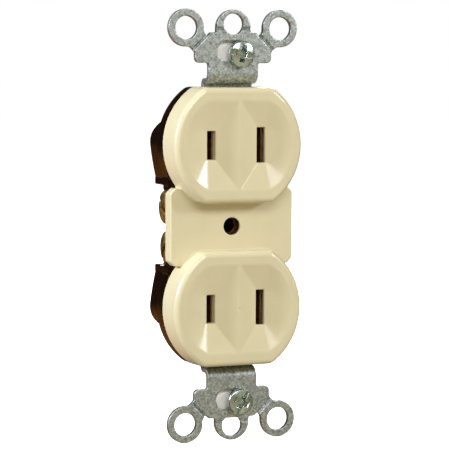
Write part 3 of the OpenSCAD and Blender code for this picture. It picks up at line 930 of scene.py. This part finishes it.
def add_lights():
    """The world is shown white, but casts cream from the front and below and amber from behind."""
    world = bpy.data.worlds.new("studio")
    world.use_nodes = True
    tree = world.node_tree
    shown = tree.nodes["Background"]
    shown.inputs["Color"].default_value = (1, 1, 1, 1)
    front = add_sky_term(tree, (-0.15, -0.93, 0.3), -0.4, 0.85, 0.04, 0.40)
    below = add_sky_term(tree, (0.2, -0.58, -0.79), 0.55, 0.95, 0, 0.38)
    behind = add_sky_term(tree, (-0.25, 0.85, -0.46), 0.915, 0.955, 0, 0.5)
    fill = tree.nodes.new("ShaderNodeMath")
    fill.operation = "ADD"
    tree.links.new(front, fill.inputs[0])
    tree.links.new(below, fill.inputs[1])
    cream = add_background(tree, CREAM, fill.outputs["Value"])
    amber = add_background(tree, AMBER, behind)
    both = tree.nodes.new("ShaderNodeAddShader")
    tree.links.new(cream, both.inputs[0])
    tree.links.new(amber, both.inputs[1])
    path = tree.nodes.new("ShaderNodeLightPath")
    mix = tree.nodes.new("ShaderNodeMixShader")
    tree.links.new(path.outputs["Is Camera Ray"], mix.inputs["Fac"])
    tree.links.new(both.outputs["Shader"], mix.inputs[1])
    tree.links.new(shown.outputs["Background"], mix.inputs[2])
    tree.links.new(mix.outputs["Shader"], tree.nodes["World Output"].inputs["Surface"])
    SCENE.world = world
    for box in SOFT_BOXES:
        add_soft_box(*box)


def add_floor():
    floor_z = STRAP_LOW[2] * MM
    mesh = bpy.data.meshes.new("floor")
    signs = ((-1, -1), (1, -1), (1, 1), (-1, 1))
    corners = [(FLOOR_HALF * x, FLOOR_HALF * y, floor_z) for x, y in signs]
    mesh.from_pydata(corners, [], [(0, 1, 2, 3)])
    floor = bpy.data.objects.new("floor", mesh)
    SCENE.collection.objects.link(floor)
    material, tree, shader = new_material("pale_floor")
    shader.inputs["Base Color"].default_value = (0.9, 0.9, 0.9, 1)
    shader.inputs["Roughness"].default_value = 0.6
    shader.inputs["Emission Color"].default_value = (1, 1, 1, 1)
    shader.inputs["Emission Strength"].default_value = 1.1
    mesh.materials.append(material)
    floor.visible_diffuse = False
    floor.visible_glossy = False


add_camera()

IVORY = ivory_plastic()
PHENOLIC = phenolic_plastic()
STEEL = galvanised_steel()
ZINC = plated_metal("bright_zinc", (0.34, 0.40, 0.38), (0.60, 0.68, 0.65), 0.14, 0.3)
BRASS = plated_metal("brass", (0.26, 0.17, 0.045), (0.74, 0.55, 0.20), 0.26, 0.5, 420)
NICKEL = plated_metal("nickel", (0.58, 0.57, 0.53), (0.75, 0.73, 0.69), 0.18, 0.32)
BRONZE = plated_metal("bronze", (0.30, 0.17, 0.08), (0.50, 0.31, 0.15), 0.25, 0.45)
NYLON = white_nylon()

# ---------------------------------------------------------------- pieces


def add_mouldings():
    add_piece("cover_moulding", cover_field, COVER_LOW, COVER_HIGH, 0.25, 0.5, IVORY,
              "receptacle", ["face_cover"])
    add_piece("body_moulding", body_field, BODY_LOW, BODY_HIGH, 0.3, 0.35, PHENOLIC,
              "receptacle", ["back_body"])


def add_strap():
    add_piece("strap_pressing", strap_field, STRAP_LOW, STRAP_HIGH, 0.22, 0.5, STEEL,
              "receptacle", ["mounting_strap"])


def add_side(side, half_l, metal, slot):
    """One side's bar, contacts, rivets and terminal screws; side is -1 for hot, 1 for neutral."""
    pole = "hot" if side < 0 else "neutral"

    def place(node, field, step, keep, material, body, slot_name):
        low, high = node_box(node)
        add_piece(node + "_piece", field, low, high, step, keep, material, body, [node])

    place(f"{pole}_terminal_bar", lambda x, y, z: terminal_bar_field(side * x, y, z),
          0.16, 0.2, metal, "receptacle", slot)
    ends = (("upper", 1, UPPER_TERM_Z, 0.45), ("lower", -1, LOWER_TERM_Z, -0.9))
    for end, sign, term_z, turn in ends:
        place(f"{end}_{pole}_contact", lambda x, y, z: contact_field(side * x, y, sign * z, half_l),
              0.13, 0.25, BRONZE, "receptacle", "contact_bronze")
        place(f"{end}_{pole}_rivet", lambda x, y, z: rivet_field(side * x, y, sign * z),
              0.1, 0.3, BRASS, "receptacle", "rivet_brass")
        screw = f"{end}_{pole}_screw"
        low, high = node_box(screw)
        under = (-high[0] if side < 0 else low[0]) + TERM_LEN
        place(screw,
              lambda x, y, z: term_screw_shape(under - side * x, y - TERM_Y, z - term_z, turn),
              0.1, 0.35, metal, screw, slot)


def add_box_fixings():
    for end, sign, turn in (("top", 1, -0.2), ("bottom", -1, 1.1)):
        screw = f"{end}_box_screw"
        low, high = node_box(screw)
        middle = (low + high) / 2
        under_y = low[1] + BOX_HEAD_H
        add_piece(screw + "_piece",
                  lambda x, y, z: box_screw_shape(y - under_y, x - middle[0], z - middle[2], turn),
                  low, high, 0.1, 0.35, ZINC, screw, [screw])
        washer = f"{end}_retaining_washer"
        low, high = node_box(washer)
        back_y = low[1]
        add_piece(washer + "_piece",
                  lambda x, y, z: washer_field(x - middle[0], y - back_y, z - middle[2]),
                  low, high, 0.15, 0.3, NYLON, washer, [washer])
        screw = f"{end}_assembly_screw"
        low, high = node_box(screw)
        head_y = high[1] - ASSEMBLY_HEAD_H
        add_piece(screw + "_piece",
                  lambda x, y, z: assembly_screw_shape(head_y - y, x, z - sign * ASSEMBLY_Z),
                  low, high, 0.1, 0.3, ZINC, "receptacle", [screw])


add_mouldings()
add_strap()
add_side(-1, 3.5, BRASS, "terminal_brass")
add_side(1, 4.2, NICKEL, "terminal_nickel")
add_box_fixings()
add_lights()
add_floor()
